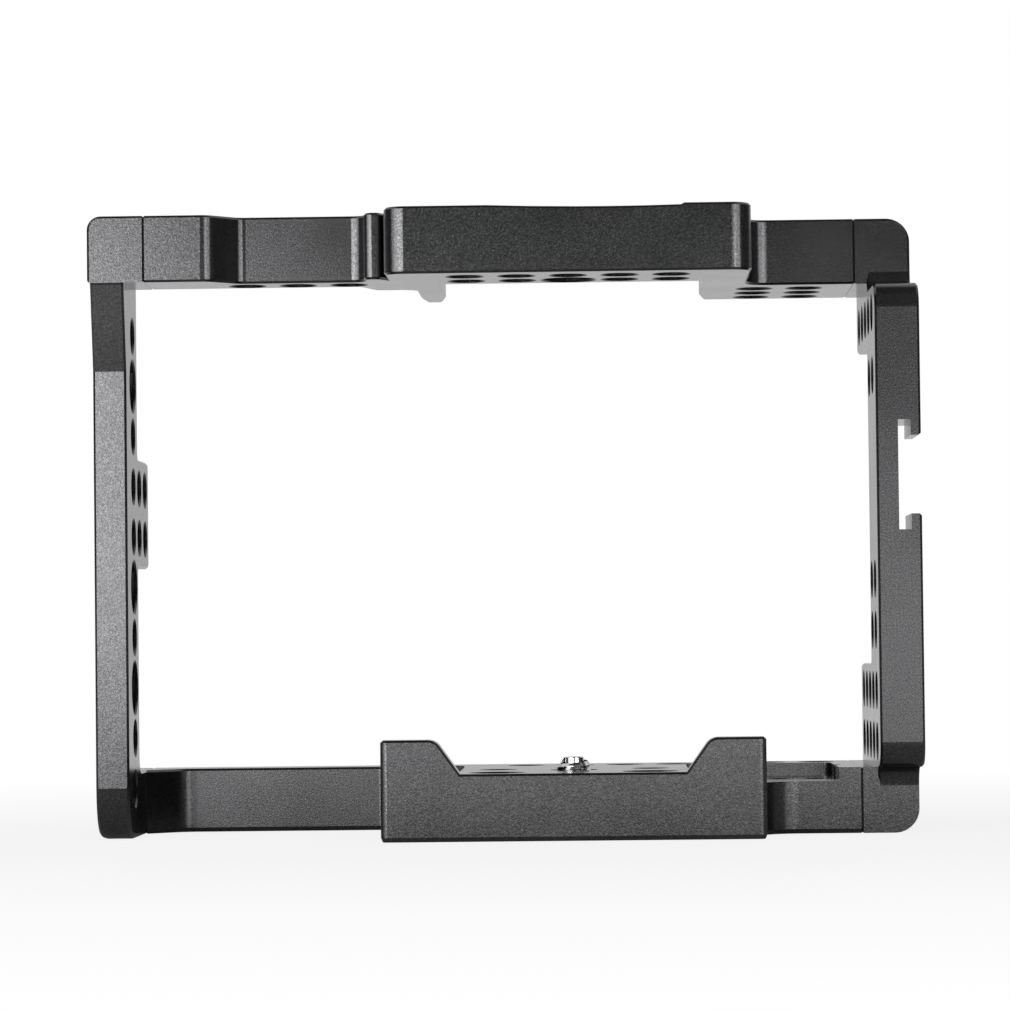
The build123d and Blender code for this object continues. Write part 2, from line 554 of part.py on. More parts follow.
# ---------------------------------------------------------------- grip-side plate
with BuildPart() as grip_side_plate:
    with BuildSketch(Plane.YZ.offset(GRIP_OUTER_X)):
        with BuildLine():
            outline([
                (GRIP_END_FRONT_Y, TOP_Z, 0),
                (GRIP_END_FRONT_Y, UNDERSIDE_Z, 0),
                (SLANT_FRONT_Y, UNDERSIDE_Z, 0),
                (BEAM_FRONT_Y, SLANT_LOW_Z, 0),
                (BEAM_FRONT_Y, FOOT_BREAK_Z, 0),
                (BEAM_FRONT_Y + FOOT_LEAN, FOOT_BOTTOM_Z, FOOT_NOSE_RADIUS),
                (FOOT_BACK_Y, FOOT_BOTTOM_Z, TAB_CORNER_RADIUS),
                (FOOT_BACK_Y, SEAT_Z, TAB_CORNER_RADIUS),
                (BEAM_BACK_Y, SEAT_Z, FOOT_FILLET),
                (BEAM_BACK_Y, GRIP_TAB_LOW_Z, TAB_CORNER_RADIUS),
                (GRIP_TAB_BACK_Y, GRIP_TAB_LOW_Z, TAB_CORNER_RADIUS),
                (GRIP_TAB_BACK_Y, GRIP_TAB_HIGH_Z, TAB_CORNER_RADIUS),
                (BEAM_BACK_Y, GRIP_TAB_HIGH_Z, TAB_CORNER_RADIUS),
                (BEAM_BACK_Y, TOP_Z, 0),
            ])
        make_face()
    extrude(amount=GRIP_WALL)
    with BuildSketch(Plane.YZ.offset(GRIP_INNER_X)):
        with BuildLine():
            outline([
                (GRIP_END_FRONT_Y, UNDERSIDE_Z, 0),
                (GRIP_END_BACK_Y, UNDERSIDE_Z, 0),
                (GRIP_END_BACK_Y, TOP_Z, 0),
                (GRIP_END_FRONT_Y, TOP_Z, 0),
            ])
        make_face()
    extrude(amount=GRIP_SEAM_X - GRIP_INNER_X)
    outer_edges = level_edges(grip_side_plate, Axis.X, GRIP_OUTER_X, ())
    top_edge = outer_edges.filter_by(Axis.Y).sort_by(Axis.Z)[-1]
    fillet(top_edge, GRIP_TOP_EDGE_RADIUS)
    outer_edges = level_edges(grip_side_plate, Axis.X, GRIP_OUTER_X, ())
    chamfer(outer_edges.filter_by_position(Axis.Z, FOOT_BOTTOM_Z + NEAR,
                                           TOP_Z - GRIP_TOP_EDGE_RADIUS - NEAR), EDGE_BREAK)
    with BuildSketch(Plane.XZ):
        between_corner_and_round((GRIP_OUTER_X, FOOT_BOTTOM_Z), GRIP_FOOT_EDGE_RADIUS, 1, 1)
    extrude(amount=-FOOT_BACK_Y, mode=Mode.SUBTRACT)
    chamfer(level_edges(grip_side_plate, Axis.X, GRIP_INNER_X, ()).filter_by_position(
        Axis.Z, FOOT_BOTTOM_Z - NEAR, UNDERSIDE_Z - NEAR), EDGE_BREAK)
    chamfer(seam_rim(grip_side_plate, GRIP_SEAM_X), SEAM_BREAK)
    drilled(Plane.YZ.offset(GRIP_INNER_X), GRIP_QUARTER_HOLES, QUARTER_RADIUS, GRIP_WALL)
    drilled(Plane.YZ.offset(GRIP_INNER_X), GRIP_STUD_HOLES, THREE_EIGHTHS_RADIUS, GRIP_WALL)
    joint_holes_in_side_plate("grip_top")
    joint_holes_in_side_plate("grip_base")
grip_side_plate.part.label = "grip_side_plate"

# ---------------------------------------------------------------- port-side plate
with BuildPart() as port_side_plate:
    with BuildSketch(Plane.YZ.offset(PORT_INNER_X)):
        with BuildLine():
            outline([
                (PORT_BEAM_FRONT_Y, SEAT_Z, PORT_BEAM_NOSE_RADIUS),
                (PORT_BACK_Y, SEAT_Z, 0),
                (PORT_BACK_Y, PORT_LOW_TAB_Z, TAB_CORNER_RADIUS),
                (PORT_BEAM_BACK_Y, PORT_LOW_TAB_Z, TAB_CORNER_RADIUS),
                (PORT_BEAM_BACK_Y, PORT_HIGH_TAB_Z, TAB_CORNER_RADIUS),
                (PORT_BACK_Y, PORT_HIGH_TAB_Z, TAB_CORNER_RADIUS),
                (PORT_BACK_Y, TOP_Z, 0),
                (PORT_END_FRONT_Y, TOP_Z, 0),
                (PORT_END_FRONT_Y, PORT_BEAM_TOP_Z, PORT_SHELF_FILLET),
                (PORT_BEAM_FRONT_Y, PORT_BEAM_TOP_Z, PORT_BEAM_NOSE_RADIUS),
            ])
        make_face()
    extrude(amount=PORT_WALL)
    with BuildSketch(Plane.YZ.offset(PORT_SEAM_X)):
        with BuildLine():
            outline([
                (PORT_END_FRONT_Y, UNDERSIDE_Z, 0),
                (PORT_BACK_Y, UNDERSIDE_Z, 0),
                (PORT_BACK_Y, TOP_Z, 0),
                (PORT_END_FRONT_Y, TOP_Z, 0),
            ])
        make_face()
    extrude(amount=PORT_INNER_X - PORT_SEAM_X)
    with BuildSketch(Plane.YZ.offset(BASE_SEAM_X)):
        with BuildLine():
            outline([
                (PORT_BAR_FRONT_Y, BOTTOM_Z, 0),
                (PORT_BACK_Y, BOTTOM_Z, 0),
                (PORT_BACK_Y, SEAT_Z, 0),
                (PORT_BAR_FRONT_Y, SEAT_Z, 0),
            ])
        make_face()
    extrude(amount=PORT_FOOT_OUTER_X - BASE_SEAM_X)
    # Soft corner between the foot and the beam's underside.
    with BuildSketch(Plane.YZ.offset(PORT_INNER_X)):
        between_corner_and_round((PORT_BAR_FRONT_Y, SEAT_Z), PORT_FOOT_FILLET, -1, -1)
    extrude(amount=PORT_FOOT_OUTER_X - PORT_INNER_X)
    # Accessory shoe: wide slot, narrow mouth, lips on the front part only.
    with BuildSketch(Plane.XZ.offset(-PORT_BEAM_FRONT_Y)):
        with Locations((SHOE_FLOOR_X + SHOE_SLOT / 2, SHOE_CENTRE_Z)):
            Rectangle(SHOE_SLOT, SHOE_WIDTH)
        with Locations((SHOE_FLOOR_X + (SHOE_SLOT + SHOE_LIP) / 2, SHOE_CENTRE_Z)):
            Rectangle(SHOE_SLOT + SHOE_LIP, SHOE_MOUTH)
    extrude(amount=-SHOE_LIP_LENGTH, mode=Mode.SUBTRACT)
    with BuildSketch(Plane.XZ.offset(-PORT_BEAM_FRONT_Y - SHOE_LIP_LENGTH)):
        with Locations((SHOE_FLOOR_X + (SHOE_SLOT + SHOE_LIP) / 2, SHOE_CENTRE_Z)):
            Rectangle(SHOE_SLOT + SHOE_LIP, SHOE_WIDTH)
    extrude(amount=-(PORT_BEAM_BACK_Y - PORT_BEAM_FRONT_Y - SHOE_LIP_LENGTH), mode=Mode.SUBTRACT)
    outer_edges = port_side_plate.edges().filter_by(Axis.Y)
    top_edge = outer_edges.filter_by_position(Axis.X, PORT_OUTER_X - NEAR, PORT_OUTER_X + NEAR)
    fillet(top_edge.sort_by(Axis.Z)[-1], PORT_TOP_EDGE_RADIUS)
    foot_edge = outer_edges.filter_by_position(
        Axis.X, PORT_FOOT_OUTER_X - NEAR, PORT_FOOT_OUTER_X + NEAR)
    fillet(foot_edge.sort_by(Axis.Z)[0], PORT_FOOT_EDGE_RADIUS)
    chamfer(level_edges(port_side_plate, Axis.X, PORT_OUTER_X, ()).filter_by_position(
        Axis.Z, SEAT_Z - NEAR, TOP_Z - PORT_TOP_EDGE_RADIUS - NEAR), EDGE_BREAK)
    chamfer(level_edges(port_side_plate, Axis.X, PORT_INNER_X, ()).filter_by_position(
        Axis.Z, SEAT_Z + NEAR, UNDERSIDE_Z - NEAR), EDGE_BREAK)
    chamfer(seam_rim(port_side_plate, PORT_SEAM_X), SEAM_BREAK)
    chamfer(seam_rim(port_side_plate, BASE_SEAM_X), SEAM_BREAK)
    drilled(Plane.YZ.offset(PORT_OUTER_X), PORT_QUARTER_HOLES, QUARTER_RADIUS, PORT_WALL)
    joint_holes_in_side_plate("port_top")
    joint_holes_in_side_plate("port_base")
port_side_plate.part.label = "port_side_plate"

# ---------------------------------------------------------------- anti-slip pads
pads = []
for side, centre in zip(("grip", "port"), PAD_CENTRES):
    with BuildPart() as pad:
        with BuildSketch(Plane.XY.offset(SEAT_Z - PAD_SINK)):
            with Locations(centre):
                RectangleRounded(PAD_WIDTH, PAD_LENGTH, PAD_CORNER)
        extrude(amount=PAD_SINK + PAD_PROUD)
    pad.part.label = side + "_seat_pad"
    pads.append(pad.part)

# ---------------------------------------------------------------- camera screw
with BuildPart() as camera_screw:
    with BuildSketch(Plane.XY.offset(HEAD_BOTTOM_Z)):
        Circle(HEAD_RADIUS)
    extrude(amount=HEAD_HEIGHT)
    with BuildSketch(Plane.XY.offset(HEAD_TOP_Z)):
        Circle(SHANK_RADIUS)
    extrude(amount=TOP_BORE_FLOOR_Z - HEAD_TOP_Z)
    with BuildSketch(Plane.XY.offset(TOP_BORE_FLOOR_Z)):
        Circle(THREAD_RADIUS)
    extrude(amount=THREAD_LENGTH)
    tip = camera_screw.edges().filter_by(GeomType.CIRCLE).sort_by(Axis.Z)[-1]
    chamfer(tip, THREAD_TIP)
    rim = camera_screw.edges().filter_by(GeomType.CIRCLE).sort_by(Axis.Z)[0]
    chamfer(rim, EDGE_BREAK)
    with BuildSketch(Plane.XY.offset(HEAD_BOTTOM_Z)):
        Rectangle(COIN_SLOT_WIDTH, 3 * HEAD_RADIUS)
    extrude(amount=COIN_SLOT_DEPTH, mode=Mode.SUBTRACT)
    for sign in (-1, 1):
        cut_cylinder(outward_plane(sign * HEAD_RADIUS, 0, RING_Z, sign), RING_WIRE + RING_PLAY,
                     RING_PIVOT_DEPTH)
camera_screw.part.label = "camera_screw"

with BuildPart() as camera_screw_washer:
    with BuildSketch(Plane.XY.offset(HEAD_TOP_Z)):
        Circle(WASHER_RADIUS)
        Circle(SHANK_RADIUS + RUNNING_PLAY, mode=Mode.SUBTRACT)
    extrude(amount=WASHER_THICKNESS)
camera_screw_washer.part.label = "camera_screw_washer"

with BuildPart() as camera_screw_ring:
    pivot_x = HEAD_RADIUS - RING_PIVOT_DEPTH + RING_PLAY
    with BuildLine(Plane.XY.offset(RING_Z)):
        Line((pivot_x, 0), (RING_RADIUS - RING_BEND, 0))
        RadiusArc((RING_RADIUS - RING_BEND, 0), (RING_RADIUS, RING_BEND), -RING_BEND)
        ThreePointArc((RING_RADIUS, RING_BEND), (0, RING_RADIUS + RING_BEND),
                      (-RING_RADIUS, RING_BEND))
        RadiusArc((-RING_RADIUS, RING_BEND), (RING_BEND - RING_RADIUS, 0), -RING_BEND)
        Line((RING_BEND - RING_RADIUS, 0), (-pivot_x, 0))
    with BuildSketch(Plane(origin=(pivot_x, 0, RING_Z), z_dir=(1, 0, 0))):
        Circle(RING_WIRE)
    sweep()
camera_screw_ring.part.label = "camera_screw_ring"

# ---------------------------------------------------------------- corner fasteners
fasteners = []
for name, (outer, seam, z, screw_places, dowel_place, dowel_in_side) in JOINTS.items():
    dowel_y, dowel_z = dowel_place
    sign = side_sign(outer)
    head_face = outer - sign * HEAD_SUNK
    under_head = head_face - sign * M3_HEAD_HEIGHT
    shank_length = abs(under_head - seam) + M3_GRIP
    for number, y in enumerate(screw_places, start=1):
        with BuildPart() as screw:
            with BuildSketch(outward_plane(head_face, y, z, sign)):
                Circle(M3_HEAD_RADIUS)
            extrude(amount=-M3_HEAD_HEIGHT)
            head_rim = screw.edges().filter_by(GeomType.CIRCLE).sort_by(Axis.X)
            chamfer(head_rim[-1 if sign > 0 else 0], EDGE_BREAK)
            with BuildSketch(outward_plane(under_head, y, z, sign)):
                Circle(M3_RADIUS)
            extrude(amount=-shank_length)
            with BuildSketch(outward_plane(head_face, y, z, sign)):
                RegularPolygon(M3_HEX / 2, 6, major_radius=False)
            extrude(amount=-M3_HEX_DEPTH, mode=Mode.SUBTRACT)
        screw.part.label = f"{name}_screw_{number}"
        fasteners.append(screw.part)
    with BuildPart() as dowel:
        with BuildSketch(outward_plane(seam + sign * dowel_in_side, dowel_y, dowel_z, sign)):
            Circle(DOWEL_RADIUS)
        extrude(amount=-(dowel_in_side + DOWEL_HALF_LENGTH))
        chamfer(dowel.edges().filter_by(GeomType.CIRCLE), SEAM_BREAK)
    dowel.part.label = f"{name}_dowel"
    fasteners.append(dowel.part)

# ---------------------------------------------------------------- export
os.makedirs("parts", exist_ok=True)
plates = [top_plate.part, base_plate.part, grip_side_plate.part, port_side_plate.part]
screw_pieces = [camera_screw.part, camera_screw_washer.part, camera_screw_ring.part]
for piece in plates + pads + screw_pieces + fasteners:
    export_step(piece, f"parts/{piece.label}.step")
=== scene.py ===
"""Dresses the camera cage: tapped threads, seat pads, camera screw, finishes and studio."""
from __future__ import annotations

import logging
import math
from collections.abc import Iterator, Sequence
from dataclasses import dataclass
from enum import Enum

import bmesh
import bpy
from mathutils import Matrix, Vector

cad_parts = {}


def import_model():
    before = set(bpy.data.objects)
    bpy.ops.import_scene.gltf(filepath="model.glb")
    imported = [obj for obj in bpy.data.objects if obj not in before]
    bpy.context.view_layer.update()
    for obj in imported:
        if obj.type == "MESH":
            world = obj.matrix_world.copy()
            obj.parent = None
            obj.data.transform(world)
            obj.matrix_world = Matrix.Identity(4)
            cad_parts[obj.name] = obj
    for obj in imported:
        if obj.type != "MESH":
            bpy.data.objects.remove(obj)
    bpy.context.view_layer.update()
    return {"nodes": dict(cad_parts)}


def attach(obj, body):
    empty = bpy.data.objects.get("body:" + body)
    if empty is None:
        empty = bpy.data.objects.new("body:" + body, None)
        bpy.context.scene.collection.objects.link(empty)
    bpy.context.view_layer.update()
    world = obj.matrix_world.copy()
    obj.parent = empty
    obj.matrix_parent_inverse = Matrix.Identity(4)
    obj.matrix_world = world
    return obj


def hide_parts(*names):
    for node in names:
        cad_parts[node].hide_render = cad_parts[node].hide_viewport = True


LOG = logging.getLogger("camera_cage")
MM = 0.001
EMBED = 0.02 * MM               # how far a ridge reaches into the metal that it stands on
MERGE = 0.001 * MM
SHARP_ANGLE = math.radians(32)
NOISE_BROAD = (0.3, 0.7)        # the parts of a noise's range that the finishes spread out
NOISE_MIDDLE = (0.35, 0.65)


class Axis(Enum):
    """Direction that a row of holes is drilled in."""

    ACROSS = "X"
    UPRIGHT = "Z"

    def turn(self) -> Matrix:
        """Turns a shape made along Z into this direction."""
        if self is Axis.ACROSS:
            return Matrix.Rotation(math.radians(90), 4, "Y")
        return Matrix.Identity(4)


class Thread(Enum):
    """Thread sizes of the cage, as (outer radius, pitch) in millimetres."""

    QUARTER_INCH = (3.175, 1.27)
    THREE_EIGHTHS = (4.7625, 1.5875)

    @property
    def radius(self) -> float:
        """Outer radius of the thread, in metres."""
        return self.value[0] * MM

    @property
    def pitch(self) -> float:
        """Distance between two turns, in metres."""
        return self.value[1] * MM


# ---------------------------------------------------------------- mesh helpers
def new_object(name: str, bm: bmesh.types.BMesh) -> bpy.types.Object:
    """Turns a finished bmesh into an object at the origin.

    Args:
        name: Name of the object and of its mesh.
        bm: Mesh to keep. It is freed here.

    Returns:
        The object, linked to the scene.
    """
    bmesh.ops.recalc_face_normals(bm, faces=bm.faces)
    mesh = bpy.data.meshes.new(name)
    bm.to_mesh(mesh)
    bm.free()
    mesh.shade_smooth()
    mesh.set_sharp_from_angle(angle=SHARP_ANGLE)
    piece = bpy.data.objects.new(name, mesh)
    bpy.context.scene.collection.objects.link(piece)
    return piece


def lathe(bm: bmesh.types.BMesh, profile: Sequence[tuple[float, float]], steps: int) -> None:
    """Turns a profile into a closed solid round Z.

    Args:
        bm: Mesh that the solid is added to.
        profile: (radius, height) of each point in millimetres, from pole to pole.
        steps: Number of steps of the full turn.
    """
    points = [bm.verts.new((radius * MM, 0, height * MM)) for radius, height in profile]
    edges = [bm.edges.new(pair) for pair in zip(points, points[1:])]
    bmesh.ops.spin(bm, geom=points + edges, cent=(0, 0, 0), axis=(0, 0, 1), dvec=(0, 0, 0),
                   angle=math.tau, steps=steps, use_merge=True, use_duplicate=False)
    bmesh.ops.remove_doubles(bm, verts=bm.verts, dist=MERGE)


def helix(bm: bmesh.types.BMesh, outline: Sequence[tuple[float, float]], pitch: float,
          turns: float, steps_per_turn: int) -> list[bmesh.types.BMVert]:
    """Winds a closed outline into a right-handed thread ridge round Z.

    Args:
        bm: Mesh that the ridge is added to.
        outline: (radius, height) of each corner in metres.
        pitch: Height gained in each turn, in metres.
        turns: Number of turns.
        steps_per_turn: Number of steps in each turn.

    Returns:
        The ridge's vertices.
    """
    before = len(bm.verts)
    corners = [bm.verts.new((radius, 0, height)) for radius, height in outline]
    start = bm.faces.new(corners)
    steps = round(turns * steps_per_turn)
    wound = bmesh.ops.spin(bm, geom=list(start.edges), cent=(0, 0, 0), axis=(0, 0, 1),
                           dvec=(0, 0, pitch / steps_per_turn), angle=math.tau * turns,
                           steps=steps, use_merge=False, use_duplicate=False)
    last = [edge for edge in wound["geom_last"] if isinstance(edge, bmesh.types.BMEdge)]
    bmesh.ops.edgeloop_fill(bm, edges=last)
    bm.verts.ensure_lookup_table()
    return bm.verts[before:]


# ---------------------------------------------------------------- node helper
class Nodes:
    """Adds and joins the nodes of one material or world."""

    def __init__(self, tree: bpy.types.NodeTree) -> None:
        """Empties the tree."""
        tree.nodes.clear()
        self.tree = tree

    def add(self, kind: str, inputs: dict[str | int, object] | None = None,
            **settings: object) -> bpy.types.Node:
        """Adds one node.

        Args:
            kind: Blender's name of the node's type.
            inputs: Values or output sockets for the node's inputs.
            settings: Attributes of the node.

        Returns:
            The node.
        """
        node = self.tree.nodes.new(kind)
        for name, value in settings.items():
            setattr(node, name, value)
        for name, value in (inputs or {}).items():
            if isinstance(value, bpy.types.NodeSocket):
                self.tree.links.new(value, node.inputs[name])
            else:
                node.inputs[name].default_value = value
        return node

    def place(self) -> bpy.types.NodeSocket:
        """Adds the piece's own coordinates."""
        return self.add("ShaderNodeTexCoord").outputs["Object"]

    def noise(self, place: bpy.types.NodeSocket, size: float, detail: float = 2.0,
              rough: float = 0.5) -> bpy.types.NodeSocket:
        """Adds a noise texture.

        Args:
            place: Coordinates of the pattern.
            size: Width of the pattern's spots in metres.
            detail: Number of finer layers.
            rough: Strength of the finer layers.

        Returns:
            The noise, about 0.5 on average.
        """
        node = self.add("ShaderNodeTexNoise", {
            "Vector": place, "Scale": 1 / size, "Detail": detail, "Roughness": rough})
        return node.outputs["Fac"]

    def spread(self, value: bpy.types.NodeSocket, source: tuple[float, float],
               target: tuple[float, float]) -> bpy.types.NodeSocket:
        """Maps a range onto another, held at its ends.

        Args:
            value: Number to map.
            source: Range that the number has.
            target: Range that it gets.

        Returns:
            The mapped number.
        """
        node = self.add("ShaderNodeMapRange", {
            "Value": value, "From Min": source[0], "From Max": source[1], "To Min": target[0],
            "To Max": target[1]})
        return node.outputs["Result"]

    def math(self, operation: str, *values: object) -> bpy.types.NodeSocket:
        """Adds a math node.

        Args:
            operation: Blender's name of the operation.
            values: Its inputs, in order.

        Returns:
            The result.
        """
        node = self.add("ShaderNodeMath", dict(enumerate(values)), operation=operation)
        return node.outputs["Value"]

    def mix(self, factor: object, first: object, second: object,
            blend: str = "MIX") -> bpy.types.NodeSocket:
        """Mixes two colours.

        Args:
            factor: Share of the second colour.
            first: First colour.
            second: Second colour.
            blend: Blender's name of the way they are mixed.

        Returns:
            The mixed colour.
        """
        node = self.add("ShaderNodeMix", {0: factor, 6: first, 7: second}, data_type="RGBA",
                        blend_type=blend)
        return node.outputs[2]

    def bump(self, height: bpy.types.NodeSocket, distance: float) -> bpy.types.NodeSocket:
        """Adds a bump.

        Args:
            height: Height from 0 to 1.
            distance: Height of a full step in metres.

        Returns:
            The bumped normal.
        """
        node = self.add("ShaderNodeBump", {"Height": height, "Distance": distance})
        return node.outputs["Normal"]

    def mirrored_ray(self) -> bpy.types.NodeSocket:
        """Tells whether a ray was mirrored or went through glass."""
        path = self.add("ShaderNodeLightPath").outputs
        return self.math("MAXIMUM", path["Is Glossy Ray"], path["Is Transmission Ray"])

    def surface(self, colour: bpy.types.NodeSocket, rough: bpy.types.NodeSocket,
                normal: bpy.types.NodeSocket, metallic: float = 0.0) -> None:
        """Adds the shader and the output of a finish.

        Args:
            colour: Base colour.
            rough: Roughness.
            normal: Bumped normal.
            metallic: Share of metal.
        """
        shader = self.add("ShaderNodeBsdfPrincipled", {
            "Base Color": colour, "Roughness": rough, "Metallic": metallic, "Normal": normal})
        self.add("ShaderNodeOutputMaterial", {"Surface": shader.outputs["BSDF"]})


def new_material(name: str) -> tuple[bpy.types.Material, Nodes]:
    """Makes a node material without nodes.

    Args:
        name: Name of the material.

    Returns:
        The material and the helper that fills it.
    """
    material = bpy.data.materials.new(name)
    material.use_nodes = True
    return material, Nodes(material.node_tree)


def grey(level: float, tint: float = 0.0) -> tuple[float, float, float, float]:
    """A grey with a slight blue tint, as a linear colour."""
    return (level, level, level * (1 + tint), 1.0)


# ---------------------------------------------------------------- finishes
@dataclass(frozen=True)
class BlastedAnodise:
    """Black anodised aluminium, bead-blasted before it was dyed; its grain carries painted glints.
    """

    name: str = "black_blasted_anodise"
    level: float = 0.082
    edge_level: float = 0.09
    tint: float = 0.03
    roughness: float = 0.17
    metallic: float = 0.93
    grain: float = 0.3 * MM
    grain_height: float = 0.014 * MM
    grain_contrast: tuple[float, float] = (0.47, 1.53)
    # Painted glint: how far the brightest grain specks are lifted in the colour, standing in for
    # sparkle.
    painted_glint: float = 0.9
    pit: float = 0.81 * MM
    cloud: float = 14 * MM
    cloud_contrast: tuple[float, float] = (0.94, 1.06)
    edge_radius: float = 0.12 * MM
    edge_turn: tuple[float, float] = (0.97, 0.8)

    def material(self) -> bpy.types.Material:
        """Builds the material.

        Returns:
            A node material on Object coordinates.
        """
        material, nodes = new_material(self.name)
        place = nodes.place()
        grain = nodes.noise(place, self.grain, 3.0, 0.7)
        pits = nodes.noise(place, self.pit)
        cloud = nodes.noise(place, self.cloud)
        deep, pale = (grey(self.level * share, self.tint) for share in self.cloud_contrast)
        dye_grain_and_glint = nodes.mix(nodes.spread(cloud, NOISE_MIDDLE, (0, 1)), deep, pale)
        # Grain tone, plus a painted glint: the brightest grain specks are lifted in the colour to
        # stand in for sparkle off the blasted surface.
        grain_and_glint = nodes.math("ADD", nodes.spread(grain, (0.3, 0.72), self.grain_contrast),
                           nodes.spread(grain, (0.64, 0.76), (0, self.painted_glint)))
        grain_and_glint_colour = nodes.add("ShaderNodeCombineColor", {0: grain_and_glint, 1: grain_and_glint, 2: grain_and_glint}).outputs[0]
        # The dye now carries the grain's tone and the painted glints.
        dye_grain_and_glint = nodes.mix(1.0, dye_grain_and_glint, grain_and_glint_colour, "MULTIPLY")
        rounded = nodes.add("ShaderNodeBevel", {"Radius": self.edge_radius}, samples=4)
        flat = nodes.add("ShaderNodeNewGeometry").outputs["Normal"]
        turn = nodes.add("ShaderNodeVectorMath", {0: rounded.outputs["Normal"], 1: flat},
                         operation="DOT_PRODUCT").outputs["Value"]
        worn = nodes.math("MULTIPLY", nodes.spread(turn, self.edge_turn, (0, 1)),
                          nodes.spread(pits, (0.4, 0.6), (0.2, 0.8)))
        colour = nodes.mix(worn, dye_grain_and_glint, grey(self.edge_level, self.tint))
        smudged = (self.roughness - 0.01, self.roughness + 0.02)
        rough = nodes.math("ADD", nodes.spread(grain, NOISE_BROAD, (-0.03, 0.03)),
                           nodes.spread(cloud, NOISE_BROAD, smudged))
        nodes.surface(colour, rough, nodes.bump(grain, self.grain_height), self.metallic)
        return material


@dataclass(frozen=True)
class Metal:
    """Bare or plated steel with turning marks and fine scratches."""

    name: str
    level: float
    roughness: float
    tint: float = 0.0
    metallic: float = 1.0
    mark_height: float = 0.002 * MM
    grain: float = 0.12 * MM
    patch: float = 2.5 * MM
    patch_contrast: tuple[float, float] = (0.92, 1.06)
    marks_scale: float = 2600.0

    def material(self) -> bpy.types.Material:
        """Builds the material.

        Returns:
            A node material on Object coordinates.
        """
        material, nodes = new_material(self.name)
        place = nodes.place()
        grain = nodes.noise(place, self.grain, 3.0, 0.6)
        patches = nodes.noise(place, self.patch)
        marks = nodes.add("ShaderNodeTexWave", {
            "Vector": place, "Scale": self.marks_scale, "Distortion": 6.0, "Detail": 2.0,
            "Detail Scale": 3.0}, wave_type="RINGS", rings_direction="Z").outputs["Fac"]
        height = nodes.math("ADD", grain, nodes.math("MULTIPLY", marks, 0.5))
        dull, bright = (grey(self.level * share, self.tint) for share in self.patch_contrast)
        colour = nodes.mix(nodes.spread(patches, NOISE_MIDDLE, (0, 1)), dull, bright)
        smudged = (self.roughness - 0.03, self.roughness + 0.05)
        rough = nodes.math("ADD", nodes.spread(grain, NOISE_BROAD, (-0.05, 0.05)),
                           nodes.spread(patches, NOISE_BROAD, smudged))
        nodes.surface(colour, rough, nodes.bump(height, self.mark_height), self.metallic)
        return material


@dataclass(frozen=True)
class Rubber:
    """Matt moulded rubber of the seat pads."""

    name: str = "moulded_rubber"
    level: float = 0.012
    dust_level: float = 0.05
    roughness: float = 0.75
    grain: float = 0.18 * MM
    grain_height: float = 0.01 * MM
    dust: float = 1.6 * MM

    def material(self) -> bpy.types.Material:
        """Builds the material.

        Returns:
            A node material on Object coordinates.
        """
        material, nodes = new_material(self.name)
        place = nodes.place()
        grain = nodes.noise(place, self.grain, 3.0, 0.6)
        dust = nodes.noise(place, self.dust, 4.0, 0.7)
        colour = nodes.mix(nodes.spread(dust, (0.56, 0.74), (0, 0.5)), grey(self.level),
                           grey(self.dust_level))
        worn = (self.roughness - 0.06, self.roughness + 0.06)
        rough = nodes.spread(grain, NOISE_BROAD, worn)
        nodes.surface(colour, rough, nodes.bump(grain, self.grain_height))
        return material


# ---------------------------------------------------------------- tapped holes
@dataclass(frozen=True)
class HoleGrid:
    """Tapped holes at every crossing of two sets of places, in millimetres."""

    thread: Thread
    first: Sequence[float]
    second: Sequence[float]
    span: tuple[float, float]

    def places(self) -> Iterator[tuple[float, float]]:
        """Each hole's two coordinates across its direction."""
        return ((one, two) for one in self.first for two in self.second)


@dataclass
class TappedPlate:
    """Thread ridges in all the accessory holes of one plate."""

    node: str
    axis: Axis
    grids: Sequence[HoleGrid]
    steps_per_turn: int = 20
    depth_share: float = 0.5
    root_share: float = 0.86
    crest_share: float = 0.16

    def ridge(self, grid: HoleGrid) -> bpy.types.Mesh:
        """Makes the thread ridge of one hole round Z.

        Args:
            grid: The holes that the ridge is for.

        Returns:
            A mesh of the ridge along the grid's span.
        """
        thread = grid.thread
        pitch = thread.pitch
        low, high = (place * MM for place in grid.span)
        outer = thread.radius + EMBED
        inner = thread.radius - self.depth_share * pitch
        root, crest = self.root_share * pitch, self.crest_share * pitch
        middle = low + root / 2
        outline = [(outer, middle - root / 2), (inner, middle - crest / 2),
                   (inner, middle + crest / 2), (outer, middle + root / 2)]
        bm = bmesh.new()
        helix(bm, outline, pitch, (high - low - root) / pitch, self.steps_per_turn)
        bmesh.ops.recalc_face_normals(bm, faces=bm.faces)
        mesh = bpy.data.meshes.new("ridge")
        bm.to_mesh(mesh)
        bm.free()
        return mesh

    def place(self, first: float, second: float) -> Matrix:
        """Moves a ridge from the Z axis to one hole.

        Args:
            first: The hole's first coordinate in millimetres.
            second: The hole's second coordinate in millimetres.

        Returns:
            The move, with the turn into the plate's drilling direction.
        """
        if self.axis is Axis.ACROSS:
            return Matrix.Translation((0, first * MM, second * MM)) @ self.axis.turn()
        return Matrix.Translation((first * MM, second * MM, 0))

    def build(self, material: bpy.types.Material) -> bpy.types.Object:
        """Builds the ridges of all the plate's holes as one piece.

        Args:
            material: Finish of the plate.

        Returns:
            The piece, riding on the cage.
        """
        bm = bmesh.new()
        for grid in self.grids:
            mesh = self.ridge(grid)
            for first, second in grid.places():
                before = len(bm.verts)
                bm.from_mesh(mesh)
                bm.verts.ensure_lookup_table()
                bmesh.ops.transform(bm, matrix=self.place(first, second), verts=bm.verts[before:])
            bpy.data.meshes.remove(mesh)
        piece = new_object(self.node + "_threads", bm)
        piece.data.materials.append(material)
        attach(piece, "cage")
        return piece


